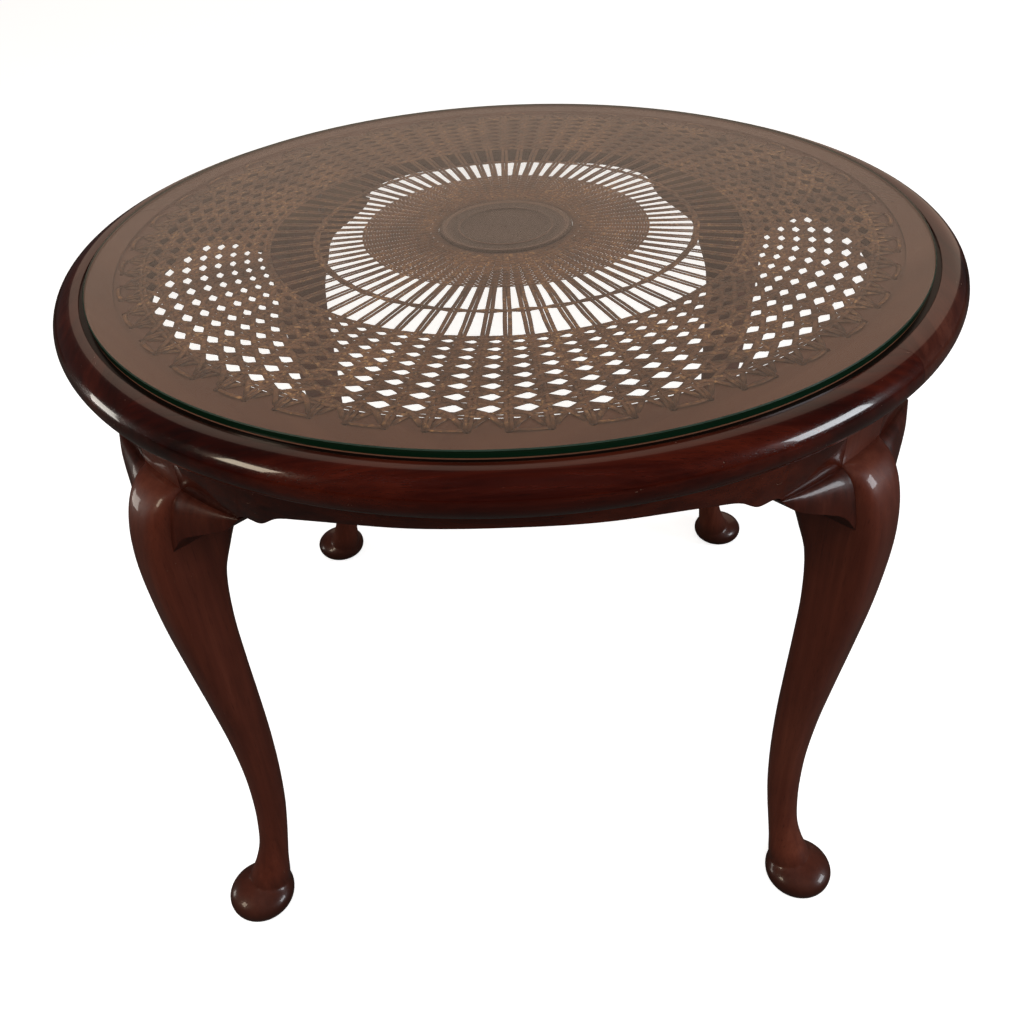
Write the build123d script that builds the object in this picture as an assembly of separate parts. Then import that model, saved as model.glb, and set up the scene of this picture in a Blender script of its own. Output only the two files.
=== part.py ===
from build123d import *
import math
import os

# Round occasional table: mahogany frame on four cabriole legs, a hand-caned panel woven round a
# turned boss, and a loose glass top lying in a rebate. Millimetres, +Z up, origin on the floor
# under the centre. Radial sizes are measured from the table's vertical centre line.

# Driving dimensions
table_height = 467.0
rim_radius = 300.0
glass_radius = 278.0
glass_thickness = 5.0
glass_clearance = 0.3
glass_arris = 0.6
rebate_radius = 281.5
rim_top = 463.0
rim_bottom = 437.0
nose_radius = 13.0
frame_inner_radius = 243.0
cane_recess_radius = 260.5
cane_bottom = 460.0
cane_top = 461.2

# Caning: spokes in pairs, one pair for each hole in the frame
spoke_pairs = 78
first_pair_azimuth = -89.2
hole_circle_radius = 255.5
hole_radius = 2.3
peg_radius = 2.2
peg_bottom = 442.0
peg_top = 456.0
field_inner_radius = 161.0
field_outer_radius = 258.0
weave_outer_radius = 98.5
binder_inner_radius = 127.0
binder_outer_radius = 132.0
binder_top = 461.6
strand_width = 1.7
strand_gap = 1.2
strand_bottom = 460.1
strand_top = 461.1

# Boss in two halves, screwed together from below
boss_radius = 46.0
boss_split = 456.0
boss_bottom = 450.5
boss_cap_radius = 44.0
boss_screw_length = 7.5

# Joints in the two rings of the rim
gaps_between_frame_joints = (0, 19, 39, 58)
first_frame_joint_azimuth = -3.82
moulding_joint_azimuths = (-42.0, 48.0, 138.0, 228.0)
tongue_size = (14.0, 24.0, 6.0)
tongue_centre_radius = 270.0
tongue_centre_height = 449.0

# Apron rails
rail_inner_radius = 258.0
rail_outer_radius = 281.0
rail_bottom = 402.5
tenon_inner = 264.0
tenon_outer = 273.0
tenon_length = 12.0
tenon_bottom = 409.0
tenon_top = 431.0
# lower edge from the middle of a rail to the tip of the ear block: degrees, height
scallop_points = (
    (0.0, 422.7),
    (11.0, 420.7),
    (18.5, 418.2),
    (23.3, 414.6),
    (25.8, 410.8),
    (28.0, 404.9),
    (30.0, 405.6),
    (31.2, 402.5),
)
# the back rail was sawn flatter in the middle
back_scallop_points = (
    (0.0, 417.2),
    (11.0, 417.0),
    (18.5, 416.4),
    (23.3, 413.8),
    (25.8, 410.2),
    (28.0, 404.9),
    (30.0, 405.6),
    (31.2, 402.5),
)

# Legs: the same pattern four times, set by hand, so each foot has wandered a little
leg_azimuths = {"front_right": -45, "back_right": 45, "back_left": 135, "front_left": -135}
foot_drift = {
    "front_right": (0.0, 0.0),
    "back_right": (8.5, 0.0),
    "back_left": (0.0, 0.0),
    "front_left": (8.8, 5.2),
}
post_half_width = 20.0
post_back = 243.0
# height, front, back, half width, squareness (2 is an ellipse)
leg_sections = (
    (14.0, 311.0, 276.0, 17.0, 2.0),
    (26.0, 305.5, 274.0, 15.0, 2.0),
    (38.0, 298.1, 272.4, 12.9, 2.0),
    (55.0, 291.6, 269.2, 11.2, 2.0),
    (75.0, 288.2, 265.8, 11.2, 2.0),
    (100.0, 286.2, 262.6, 11.8, 2.0),
    (135.0, 286.1, 260.5, 12.8, 2.0),
    (175.0, 289.1, 260.3, 14.4, 2.0),
    (215.0, 294.3, 261.7, 16.3, 2.1),
    (255.0, 300.0, 263.6, 18.2, 2.2),
    (295.0, 305.3, 264.3, 19.4, 2.3),
    (330.0, 308.0, 261.2, 19.9, 2.5),
    (350.0, 308.0, 254.0, 20.8, 2.9),
    (367.0, 306.2, 246.5, 21.5, 3.4),
    (379.0, 303.6, 243.8, 21.5, 3.6),
    (389.0, 299.8, 243.0, 21.5, 3.8),
    (396.5, 295.0, 243.0, 21.5, 4.0),
    (401.0, 290.0, 243.0, 21.5, 4.0),
    (403.5, 285.0, 243.0, 21.5, 4.0),
)
points_per_section = 16
drift_fades_at = 400.0
pad_centre_radius = 300.5
pad_radius = 25.2
pad_height = 25.0
sole_radius = 13.0

# Ear blocks, glued to the leg's side and under the rail
ear_lower_edge = ((20.0, 366.0), (27.0, 376.5), (38.0, 383.0), (54.0, 390.5), (62.0, 395.5), (68.0, 402.2))
# distance from the leg's middle plane, face at the lower edge, height of that edge
ear_face_sections = (
    (17.0, 297.4, 365.0),
    (30.0, 292.4, 379.0),
    (44.0, 286.6, 386.0),
    (58.0, 279.6, 392.0),
    (72.0, 271.6, 397.5),
)

# Corner blocks behind the posts, and the screws
block_back = 226.0
block_half_width = 44.0
block_bottom = 412.0
block_clearance = 0.1
block_screw_heights = (418.0, 431.0)
block_screw_length = 36.0
rim_screw_offset = 12.0
rim_screw_radius_position = 269.5
rim_screw_bottom = 424.0
rim_screw_top = 453.0
screw_radius = 2.0
screw_head_radius = 3.6
screw_head_height = 2.2


def ring(inner, outer, low, high):
    """A flat ring with square edges."""
    profile = Pos((inner + outer) / 2, 0, (low + high) / 2) * Box(outer - inner, 1, high - low)
    face = profile.faces().sort_by(Axis.Y)[0].moved(Location((0, 0.5, 0)))
    return revolve(face, Axis.Z, 360)


def turned(points):
    """Spins a closed outline of (radius, height) points round the centre line."""
    outline = Polyline(*[(r, 0, h) for r, h in points], close=True)
    return revolve(make_face(outline), Axis.Z, 360)


def sector(start, end, reach=340.0, low=-5.0, high=480.0):
    """A pie slice between two azimuths, used to cut a ring into segments."""
    steps = 6
    rim = [math.radians(start + (end - start) * i / steps) for i in range(steps + 1)]
    points = [(0.0, 0.0)] + [(reach * math.cos(a), reach * math.sin(a)) for a in rim]
    face = make_face(Polyline(*points, close=True))
    return Pos(0, 0, low) * extrude(face, high - low)


def upright(radius, low, high, x=0.0, y=0.0):
    """A vertical cylinder from one height to another."""
    return Pos(x, y, (low + high) / 2) * Cylinder(radius, high - low)


def polar(radius, azimuth):
    angle = math.radians(azimuth)
    return radius * math.cos(angle), radius * math.sin(angle)


def save(name, shape):
    shape.label = name
    export_step(shape, f"parts/{name}.step")


def pair_azimuths():
    return [first_pair_azimuth + 360.0 * i / spoke_pairs for i in range(spoke_pairs)]


def frame_joints():
    return [first_frame_joint_azimuth + 360.0 * g / spoke_pairs for g in gaps_between_frame_joints]


def rim_screw_azimuths():
    return [90.0 * side + turn for side in range(4) for turn in (-rim_screw_offset, rim_screw_offset)]


def screw(length):
    """A countersunk wood screw pointing up, with its head's top face on the origin plane."""
    head = Pos(0, 0, screw_head_height / 2) * Cone(screw_head_radius, screw_radius, screw_head_height)
    shank = upright(screw_radius, screw_head_height, length - 4)
    point = Pos(0, 0, length - 2) * Cone(screw_radius, 0.4, 4)
    slot = Pos(0, 0, 0.4) * Box(2 * screw_head_radius + 1, 0.9, 0.8)
    return head + shank + point - slot


def screw_bore(length):
    """The space that a screw fills, with its countersink."""
    head = Pos(0, 0, screw_head_height / 2) * Cone(screw_head_radius, screw_radius, screw_head_height)
    shank = upright(screw_radius, screw_head_height, length - 4)
    point = Pos(0, 0, length - 2) * Cone(screw_radius, 0.4, 4)
    return head + shank + point


def rim_screw_places():
    places = []
    for azimuth in rim_screw_azimuths():
        x, y = polar(rim_screw_radius_position, azimuth)
        places.append(Pos(x, y, rim_screw_bottom) * Rot(0, 0, azimuth))
    return places


def make_glass():
    bottom = table_height - glass_thickness
    pane = Pos(0, 0, bottom + glass_thickness / 2) * Cylinder(glass_radius, glass_thickness)
    return chamfer(pane.edges().filter_by(GeomType.CIRCLE), glass_arris)


def make_moulding():
    """The outer ring, half-round on its nose, from the rebate's wall outwards."""
    nose = rim_radius - nose_radius
    middle = (rim_top + rim_bottom) / 2
    outline = [
        Line((rebate_radius, 0, rim_bottom), (nose, 0, rim_bottom)),
        ThreePointArc((nose, 0, rim_bottom), (rim_radius, 0, middle), (nose, 0, rim_top)),
        Line((nose, 0, rim_top), (rebate_radius, 0, rim_top)),
        Line((rebate_radius, 0, rim_top), (rebate_radius, 0, rim_bottom)),
    ]
    return revolve(make_face(Wire(outline)), Axis.Z, 360)


def make_frame_ring():
    """The flat inner ring that carries the glass, with a recess and holes for the cane."""
    ledge = table_height - glass_thickness - glass_clearance
    body = turned((
        (frame_inner_radius, rim_bottom),
        (rebate_radius, rim_bottom),
        (rebate_radius, ledge),
        (cane_recess_radius, ledge),
        (cane_recess_radius, cane_bottom),
        (frame_inner_radius + 1.5, cane_bottom),
        (frame_inner_radius, cane_bottom - 1.5),
    ))
    holes = [
        upright(hole_radius, rim_bottom - 1, cane_bottom + 1, *polar(hole_circle_radius, azimuth))
        for azimuth in pair_azimuths()
    ]
    bores = [place * screw_bore(rim_screw_top - rim_screw_bottom) for place in rim_screw_places()]
    return body - holes - bores - make_tongues()


def make_tongues():
    return [
        Rot(0, 0, azimuth) * Pos(tongue_centre_radius, 0, tongue_centre_height) * Box(*tongue_size)
        for azimuth in frame_joints()
    ]


def cut_into_segments(whole, joints):
    ends = list(joints[1:]) + [joints[0] + 360]
    return [whole & sector(start, end) for start, end in zip(joints, ends)]


def make_boss_face():
    """The turned face of the boss: rounded rim, a bead, and a shallow dish with a centre dimple."""
    outline = [
        Line((0, 0, boss_split), (boss_radius, 0, boss_split)),
        Line((boss_radius, 0, boss_split), (boss_radius, 0, 460.0)),
        ThreePointArc((boss_radius, 0, 460.0), (44.6, 0, 461.3), (42.4, 0, 461.5)),
        Spline((42.4, 0, 461.5), (38.5, 0, 460.6), (34.0, 0, 460.3)),
        ThreePointArc((34.0, 0, 460.3), (32.0, 0, 461.0), (30.0, 0, 460.3)),
        Spline((30.0, 0, 460.3), (15.0, 0, 459.6), (1.5, 0, 459.4)),
        Line((1.5, 0, 459.4), (0, 0, 458.4)),
        Line((0, 0, 458.4), (0, 0, boss_split)),
    ]
    return revolve(make_face(Wire(outline)), Axis.Z, 360) - boss_screw_bore()


def boss_screw_bore():
    return Pos(0, 0, boss_bottom) * screw_bore(boss_screw_length)


def make_boss_cap():
    cap = upright(boss_cap_radius, boss_bottom, boss_split)
    lower = cap.edges().filter_by(GeomType.CIRCLE).sort_by(Axis.Z)[0]
    return fillet(lower, 3.0) - boss_screw_bore()


def make_spokes():
    """Both strands of each pair, across the open band between the weave and the field."""
    middle = (weave_outer_radius + field_inner_radius) / 2
    length = field_inner_radius - weave_outer_radius - 0.4
    height = strand_top - strand_bottom
    offset = (strand_width + strand_gap) / 2
    strand = Box(length, strand_width, height)
    return [
        Rot(0, 0, azimuth) * Pos(middle, side * offset, (strand_bottom + strand_top) / 2) * strand
        for azimuth in pair_azimuths()
        for side in (-1, 1)
    ]


def section_wire(height, front, back, half_width, squareness, drift):
    """One horizontal section of a leg as a closed smooth curve."""
    fade = max(0.0, 1.0 - height / drift_fades_at)
    centre = (front + back) / 2 + drift[0] * fade
    depth = (front - back) / 2
    power = 2.0 / squareness
    points = []
    for i in range(points_per_section):
        angle = 2 * math.pi * i / points_per_section
        c, s = math.cos(angle), math.sin(angle)
        x = centre + depth * math.copysign(abs(c) ** power, c)
        y = drift[1] * fade + half_width * math.copysign(abs(s) ** power, s)
        points.append((x, y, height))
    return make_face(Spline(*points, periodic=True))


def make_pad(drift):
    """The turned pad foot with a small flat sole."""
    middle = pad_height * 0.46
    outline = [
        Line((0, 0, 0), (sole_radius, 0, 0)),
        Spline(
            (sole_radius, 0, 0), (pad_radius, 0, middle), (0, 0, pad_height),
            tangents=((1, 0, 0.25), (-1, 0, 0)),
        ),
        Line((0, 0, pad_height), (0, 0, 0)),
    ]
    pad = revolve(make_face(Wire(outline)), Axis.Z, 360)
    return Pos(pad_centre_radius + drift[0], drift[1], 0) * Rot(0, 0, 35) * pad


def tenon(side):
    """A rail's tenon in a leg's own frame; side is +1 or -1 along the tangent."""
    middle = side * (post_half_width - tenon_length / 2)
    centre = ((tenon_inner + tenon_outer) / 2, middle, (tenon_bottom + tenon_top) / 2)
    return Pos(*centre) * Box(tenon_outer - tenon_inner, tenon_length, tenon_top - tenon_bottom)


def block_screw_places():
    return [Pos(block_back, 0, height) * Rot(0, 90, 0) for height in block_screw_heights]


def make_leg(drift):
    """A leg with radial along +X: turned pad, carved shank and knee, and a square post."""
    shank = loft([section_wire(*row, drift) for row in leg_sections])
    flat_sides = Pos(280, 0, 210) * Box(160, 2 * post_half_width, 440)
    knee_cut = Pos(280, 0, 420) * Box(160, 80, 140)
    knee = (shank & knee_cut) & flat_sides
    lower = shank - knee_cut
    depth = rail_outer_radius - post_back
    post = Pos(post_back + depth / 2, 0, (396 + rim_bottom) / 2)
    post = post * Box(depth + 6, 2 * post_half_width, rim_bottom - 396)
    post = post & ring(post_back, rail_outer_radius, 396, rim_bottom)
    post = post & (Pos(post_back + 50, 0, 420) * Box(100, 50, 60))
    leg = lower + knee + post + make_pad(drift)
    bores = [place * screw_bore(block_screw_length) for place in block_screw_places()]
    return leg - tenon(1) - tenon(-1) - bores


def ear_section(v, face, low):
    """The rounded outer face of an ear, from the rail's lower corner out and down to its own lower edge."""
    shoulder = math.sqrt(rail_outer_radius**2 - v**2) + 0.5
    rounding = [
        (
            shoulder + (face - shoulder) * math.sin(math.radians(15 * step)),
            v,
            low + (rail_bottom - low) * math.cos(math.radians(15 * step)),
        )
        for step in range(7)
    ]
    foot = 350.0
    return make_face(Wire([
        Spline(*rounding, tangents=[(1, 0, 0), (0, 0, -1)]),
        Line((face, v, low), (face, v, foot)),
        Line((face, v, foot), (200, v, foot)),
        Line((200, v, foot), (200, v, rail_bottom)),
        Line((200, v, rail_bottom), (shoulder, v, rail_bottom)),
    ]))


def make_ear(side):
    """An ear block in a leg's own frame, on one side of the knee."""
    first, last = ear_lower_edge[0], ear_lower_edge[-1]
    top = rail_bottom
    lower = Spline(*[(0, side * v, h) for v, h in ear_lower_edge])
    outline = Wire([
        lower,
        Line((0, side * last[0], last[1]), (0, side * last[0], top)),
        Line((0, side * last[0], top), (0, side * first[0], top)),
        Line((0, side * first[0], top), (0, side * first[0], first[1])),
    ])
    blank = extrude(make_face(outline), 340, dir=(1, 0, 0))
    face_cut = loft([ear_section(side * v, face, low) for v, face, low in ear_face_sections])
    return (blank & face_cut) - upright(rail_inner_radius, 340, 440)


def make_rail(side, lower_edge):
    """One apron rail, centred on azimuth 90 times side, tenoned into two legs."""
    body = ring(rail_inner_radius, rail_outer_radius, rail_bottom, rim_bottom)
    body = body & sector(-45, 45)
    half = [(rail_outer_radius * math.sin(math.radians(a)), h) for a, h in lower_edge]
    points = [(-x, h) for x, h in reversed(half[1:])] + half
    low = rail_bottom - 20
    edge = Spline(*[(0, y, h) for y, h in points])
    outline = Wire([
        edge,
        Line((0, points[-1][0], points[-1][1]), (0, points[-1][0], low)),
        Line((0, points[-1][0], low), (0, points[0][0], low)),
        Line((0, points[0][0], low), (0, points[0][0], points[0][1])),
    ])
    body = body - extrude(make_face(outline), 340, dir=(1, 0, 0))
    for turn, hand in ((45, -1), (-45, 1)):
        post_space = Pos(post_back + 40, 0, 420) * Box(100, 2 * post_half_width, 80)
        body = body - Rot(0, 0, turn) * post_space
        body = body + Rot(0, 0, turn) * tenon(hand)
    body = Rot(0, 0, 90 * side) * body
    for place in rim_screw_places():
        body = body - place * screw_bore(rim_screw_top - rim_screw_bottom)
        body = body - place * (Pos(0, 0, -10) * Cylinder(screw_head_radius + 0.4, 20))
    return body


def make_corner_block():
    """A block screwed behind the post and glued to both rails, in a leg's own frame."""
    depth = 40.0
    middle = (block_bottom + rim_bottom) / 2
    blank = Pos(block_back + depth / 2, 0, middle)
    blank = blank * Box(depth, 2 * block_half_width, rim_bottom - block_bottom)
    blank = blank & upright(rail_inner_radius, block_bottom, rim_bottom)
    post = Pos(post_back + 50, 0, middle) * Box(100, 2 * post_half_width + 2 * block_clearance, 60)
    bores = [place * screw_bore(block_screw_length) for place in block_screw_places()]
    return blank - post - bores


def build():
    os.makedirs("parts", exist_ok=True)
    save("glass_top", make_glass())
    for number, segment in enumerate(cut_into_segments(make_moulding(), moulding_joint_azimuths), 1):
        save(f"rim_moulding_{number}", segment)
    for number, segment in enumerate(cut_into_segments(make_frame_ring(), frame_joints()), 1):
        save(f"cane_frame_{number}", segment)
    save("frame_tongues", Compound(children=make_tongues()))
    pegs = [
        upright(peg_radius, peg_bottom, peg_top, *polar(hole_circle_radius, azimuth))
        for azimuth in pair_azimuths()
    ]
    save("cane_pegs", Compound(children=pegs))
    save("cane_six_way_field", ring(field_inner_radius, field_outer_radius, cane_bottom, cane_top))
    save("cane_spokes", Compound(children=make_spokes()))
    save("cane_binder_ring", ring(binder_inner_radius, binder_outer_radius, strand_top, binder_top))
    save("cane_centre_weave", ring(boss_radius, weave_outer_radius, cane_bottom, cane_top))
    save("boss_face", make_boss_face())
    save("boss_cap", make_boss_cap())
    save("boss_screw", Pos(0, 0, boss_bottom) * screw(boss_screw_length))
    for side, name in enumerate(("right", "back", "left", "front")):
        lower_edge = back_scallop_points if name == "back" else scallop_points
        save(f"apron_rail_{name}", make_rail(side, lower_edge))
    block_screws = []
    for name, azimuth in leg_azimuths.items():
        turn = Rot(0, 0, azimuth)
        save(f"leg_{name}", turn * make_leg(foot_drift[name]))
        for side, hand in ((-1, "a"), (1, "b")):
            save(f"ear_block_{name}_{hand}", turn * make_ear(side))
        save(f"corner_block_{name}", turn * make_corner_block())
        block_screws += [turn * place * screw(block_screw_length) for place in block_screw_places()]
    save("corner_block_screws", Compound(children=block_screws))
    rim_screws = [place * screw(rim_screw_top - rim_screw_bottom) for place in rim_screw_places()]
    save("rim_screws", Compound(children=rim_screws))


build()
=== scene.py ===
import math

import bmesh
import bpy
from mathutils import Matrix, Vector


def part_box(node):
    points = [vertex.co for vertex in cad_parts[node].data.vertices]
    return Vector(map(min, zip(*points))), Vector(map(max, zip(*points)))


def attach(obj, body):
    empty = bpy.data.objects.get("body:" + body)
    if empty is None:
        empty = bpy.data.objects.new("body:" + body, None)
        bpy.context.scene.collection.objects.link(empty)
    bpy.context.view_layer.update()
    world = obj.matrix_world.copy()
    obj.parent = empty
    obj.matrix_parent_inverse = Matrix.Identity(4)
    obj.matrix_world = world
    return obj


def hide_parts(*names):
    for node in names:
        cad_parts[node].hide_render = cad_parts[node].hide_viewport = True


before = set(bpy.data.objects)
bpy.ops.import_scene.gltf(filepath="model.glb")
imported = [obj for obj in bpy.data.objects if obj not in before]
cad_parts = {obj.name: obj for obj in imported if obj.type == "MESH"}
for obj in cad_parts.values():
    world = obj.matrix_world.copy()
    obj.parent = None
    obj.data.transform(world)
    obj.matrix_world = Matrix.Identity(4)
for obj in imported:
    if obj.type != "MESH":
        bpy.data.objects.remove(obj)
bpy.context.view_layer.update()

mm = 0.001
scene = bpy.context.scene


cameraPlace = {
    "location": (17.3, -652.5, 722.6),
    "heading": -2.1045, "down": 37.9535, "roll": -3.2051, "lens": 34.39, "sensor": 36,
}


def placeCamera(place):
    yaw, pitch, roll = (math.radians(place[key]) for key in ("heading", "down", "roll"))
    level = math.cos(pitch)
    ahead = Vector((math.sin(yaw) * level, math.cos(yaw) * level, -math.sin(pitch)))
    side = ahead.cross(Vector((0, 0, 1))).normalized()
    up = side.cross(ahead)
    turnedSide = math.cos(roll) * side + math.sin(roll) * up
    turnedUp = math.cos(roll) * up - math.sin(roll) * side
    data = bpy.data.cameras.new("camera")
    data.lens = place["lens"]
    data.sensor_width = place["sensor"]
    camera = bpy.data.objects.new("camera", data)
    scene.collection.objects.link(camera)
    turn = Matrix((turnedSide, turnedUp, -ahead)).transposed()
    camera.matrix_world = Matrix.Translation(Vector(place["location"]) * mm) @ turn.to_4x4()
    scene.camera = camera


placeCamera(cameraPlace)
scene.view_settings.view_transform = "Standard"
print("camera placed")


# node helpers
def addNode(tree, kind, **values):
    node = tree.nodes.new(kind)
    for key, value in values.items():
        setattr(node, key, value)
    return node


def setInputs(node, **values):
    for key, value in values.items():
        node.inputs[key.replace("_", " ")].default_value = value
    return node


def mathNode(tree, operation, first, second=None, third=None, clamp=False):
    node = addNode(tree, "ShaderNodeMath", operation=operation, use_clamp=clamp)
    for place, value in enumerate((first, second, third)):
        if value is None:
            continue
        if isinstance(value, (int, float)):
            node.inputs[place].default_value = value
        else:
            tree.links.new(value, node.inputs[place])
    return node.outputs[0]


def noiseNode(tree, vector, scale, detail=4.0, roughness=0.55, distortion=0.0):
    node = addNode(tree, "ShaderNodeTexNoise")
    setInputs(node, Scale=scale, Detail=detail, Roughness=roughness, Distortion=distortion)
    tree.links.new(vector, node.inputs["Vector"])
    return node.outputs["Fac"]


def stretchNode(tree, vector, scale, rotation=(0, 0, 0), location=(0, 0, 0)):
    node = addNode(tree, "ShaderNodeMapping")
    setInputs(node, Scale=scale, Rotation=rotation, Location=location)
    tree.links.new(vector, node.inputs["Vector"])
    return node.outputs["Vector"]


def mixColour(tree, factor, first, second, blend="MIX"):
    node = addNode(tree, "ShaderNodeMix", data_type="RGBA", blend_type=blend)
    for place, value in ((0, factor), (6, first), (7, second)):
        socket = node.inputs[place]
        if isinstance(value, (int, float)):
            socket.default_value = value
        elif isinstance(value, tuple):
            socket.default_value = (*value, 1)
        else:
            tree.links.new(value, socket)
    return node.outputs[2]


def spread(tree, value, low, high):
    node = addNode(tree, "ShaderNodeMapRange")
    setInputs(node, From_Min=low, From_Max=high)
    tree.links.new(value, node.inputs["Value"])
    return node.outputs["Result"]


def newGroup(name, inputs, outputs):
    tree = bpy.data.node_groups.new(name, "ShaderNodeTree")
    for label, kind, value in inputs:
        socket = tree.interface.new_socket(name=label, in_out="INPUT", socket_type=kind)
        if value is not None:
            socket.default_value = value
    for label, kind in outputs:
        tree.interface.new_socket(name=label, in_out="OUTPUT", socket_type=kind)
    return tree, tree.nodes.new("NodeGroupInput").outputs, tree.nodes.new("NodeGroupOutput").inputs


number, colourKind, vectorKind = "NodeSocketFloat", "NodeSocketColor", "NodeSocketVector"


# a mask that runs from 0 at Start to 1 at End, by height or by distance from the table's middle
def makeBandGroup(name, byHeight):
    tree, given, made = newGroup(
        name, [("Vector", vectorKind, None), ("Start", number, 0.0), ("End", number, 1.0)], [("Mask", number)])
    if byHeight:
        parts = addNode(tree, "ShaderNodeSeparateXYZ")
        tree.links.new(given["Vector"], parts.inputs[0])
        value = parts.outputs["Z"]
    else:
        flat = addNode(tree, "ShaderNodeVectorMath", operation="MULTIPLY")
        tree.links.new(given["Vector"], flat.inputs[0])
        flat.inputs[1].default_value = (1, 1, 0)
        away = addNode(tree, "ShaderNodeVectorMath", operation="LENGTH")
        tree.links.new(flat.outputs[0], away.inputs[0])
        value = away.outputs["Value"]
    band = addNode(tree, "ShaderNodeMapRange")
    tree.links.new(value, band.inputs["Value"])
    tree.links.new(given["Start"], band.inputs["From Min"])
    tree.links.new(given["End"], band.inputs["From Max"])
    tree.links.new(band.outputs["Result"], made["Mask"])
    return tree


heightBand = makeBandGroup("heightBand", True)
distanceBand = makeBandGroup("distanceBand", False)


def bandMask(tree, group, vector, start, end):
    node = addNode(tree, "ShaderNodeGroup", node_tree=group)
    tree.links.new(vector, node.inputs["Vector"])
    setInputs(node, Start=start, End=end)
    return node.outputs["Mask"]


# straight-grained polished wood; the grain runs along the vector's X
def makeGrainGroup():
    tree, given, made = newGroup(
        "polishedGrain",
        [("Vector", vectorKind, None), ("Dark", colourKind, (0.02, 0.004, 0.002, 1)),
         ("Middle", colourKind, (0.09, 0.015, 0.006, 1)), ("Light", colourKind, (0.2, 0.05, 0.02, 1)),
         ("Figure", number, 0.5), ("Nicks", number, 0.5), ("Pores", number, 0.5), ("Dull", number, 0.0)],
        [("Color", colourKind), ("Roughness", number), ("Height", number)],
    )
    broad = noiseNode(tree, stretchNode(tree, given["Vector"], (2.2, 26, 26)), 1.0, 3, 0.5, 0.4)
    streaks = noiseNode(tree, stretchNode(tree, given["Vector"], (7, 240, 240)), 1.0, 5, 0.6, 0.2)
    pores = noiseNode(tree, stretchNode(tree, given["Vector"], (60, 1500, 1500)), 1.0, 2, 0.5)
    patches = noiseNode(tree, given["Vector"], 14, 3, 0.6)
    figure = mathNode(tree, "MULTIPLY", broad, 0.55)
    figure = mathNode(tree, "MULTIPLY_ADD", streaks, 0.35, figure)
    figure = mathNode(tree, "MULTIPLY_ADD", patches, 0.2, figure)
    figure = spread(tree, figure, 0.40, 0.72)
    centred = mathNode(tree, "SUBTRACT", figure, 0.5)
    figure = mathNode(tree, "MULTIPLY_ADD", centred, given["Figure"], 0.5, clamp=True)
    lower = spread(tree, figure, 0.0, 0.5)
    upper = spread(tree, figure, 0.5, 1.0)
    colour = mixColour(tree, lower, given["Dark"], given["Middle"])
    colour = mixColour(tree, upper, colour, given["Light"])
    poreMask = spread(tree, pores, 0.60, 0.72)
    colour = mixColour(tree, mathNode(tree, "MULTIPLY", poreMask, given["Pores"]), colour, given["Dark"])
    # small pale nicks and hair scratches in the polish
    scratch = noiseNode(tree, stretchNode(tree, given["Vector"], (90, 420, 420), (0, 0, 0.5)), 1.0, 3, 0.7, 1.5)
    sparse = noiseNode(tree, given["Vector"], 38, 2, 0.5)
    nick = mathNode(tree, "MULTIPLY", spread(tree, scratch, 0.70, 0.74), spread(tree, sparse, 0.52, 0.6))
    nick = mathNode(tree, "MULTIPLY", nick, given["Nicks"], clamp=True)
    colour = mixColour(tree, nick, colour, (0.45, 0.33, 0.24))
    tree.links.new(colour, made["Color"])
    rough = mathNode(tree, "ADD", mathNode(tree, "MULTIPLY_ADD", patches, 0.22, 0.12), given["Dull"])
    rough = mathNode(tree, "MULTIPLY_ADD", nick, 0.3, rough, clamp=True)
    tree.links.new(rough, made["Roughness"])
    wave = noiseNode(tree, stretchNode(tree, given["Vector"], (12, 60, 60)), 1.0, 2, 0.5)
    dents = mathNode(tree, "MULTIPLY", poreMask, given["Pores"])
    height = mathNode(tree, "MULTIPLY_ADD", dents, -0.45, mathNode(tree, "MULTIPLY", streaks, 0.5))
    height = mathNode(tree, "MULTIPLY_ADD", wave, 0.8, height)
    tree.links.new(height, made["Height"])
    return tree


grainGroup = makeGrainGroup()


def newMaterial(name):
    material = bpy.data.materials.new(name)
    material.use_nodes = True
    tree = material.node_tree
    tree.nodes.clear()
    shader = addNode(tree, "ShaderNodeBsdfPrincipled")
    output = addNode(tree, "ShaderNodeOutputMaterial")
    tree.links.new(shader.outputs[0], output.inputs[0])
    return material, tree, shader


def addBump(tree, shader, height, strength, distance):
    bump = addNode(tree, "ShaderNodeBump")
    setInputs(bump, Strength=strength, Distance=distance)
    tree.links.new(height, bump.inputs["Height"])
    tree.links.new(bump.outputs[0], shader.inputs["Normal"])


# paintedShade is the colour of painted shade in gaps and grooves; the other entries are for the top edge and the feet
shadeAndWear = {
    "paintedShade": (0.004, 0.0015, 0.001), "gapShadeEdge": 0.0004, "rubbed": (0.20, 0.085, 0.05), "lipEdge": 0.0006,
    "foot": (0.028, 0.009, 0.006), "footFade": 0.4, "footShare": 0.8,
}


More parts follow.
